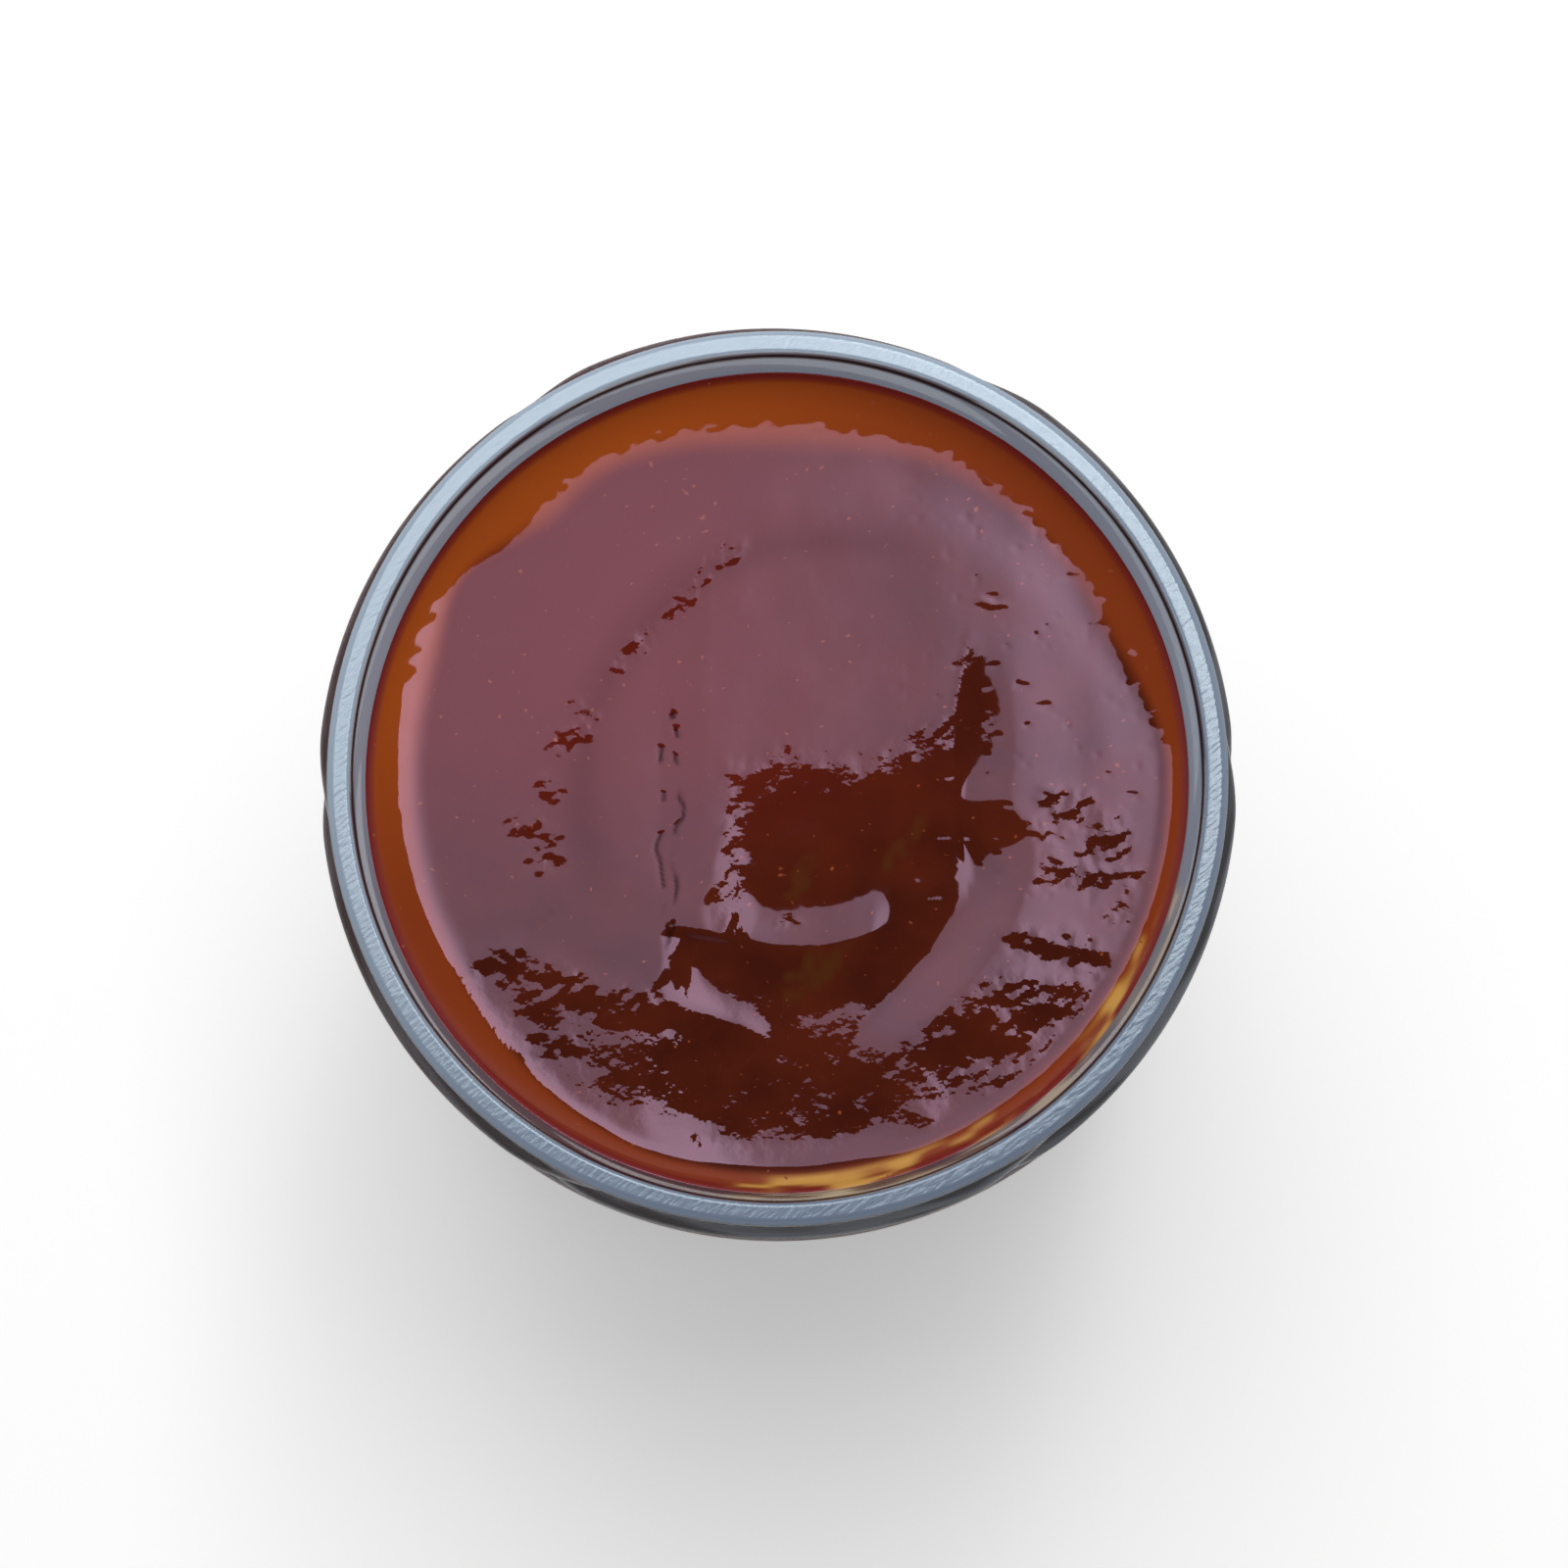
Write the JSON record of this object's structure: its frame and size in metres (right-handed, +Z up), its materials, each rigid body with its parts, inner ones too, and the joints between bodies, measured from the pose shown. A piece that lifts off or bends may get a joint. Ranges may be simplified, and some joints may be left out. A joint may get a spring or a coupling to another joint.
{
  "type": "open glass jar of barbecue sauce",
  "caption": "Clear wide-mouth glass jar, open, with a twist-off thread finish, filled almost to the rim with glossy red-brown barbecue sauce whose stirred top shows a spoon's dish and folds.",
  "frame": {"origin": "middle of the flat ring that the jar stands on, on the supporting surface", "axes": "+Z up along the jar's axis; +X and +Y lie in the supporting surface, with -Y towards the viewer, where the spoon left the sauce"},
  "size_m": [0.0824, 0.0822, 0.1],
  "materials": {
    "jar_glass": "clear flint glass, pressed and fire polished",
    "barbecue_sauce": "wet gloss"
  },
  "bodies": {
    "root": {"glass_jar": "jar_glass", "sauce": "barbecue_sauce"}
  },
  "joints": []
}
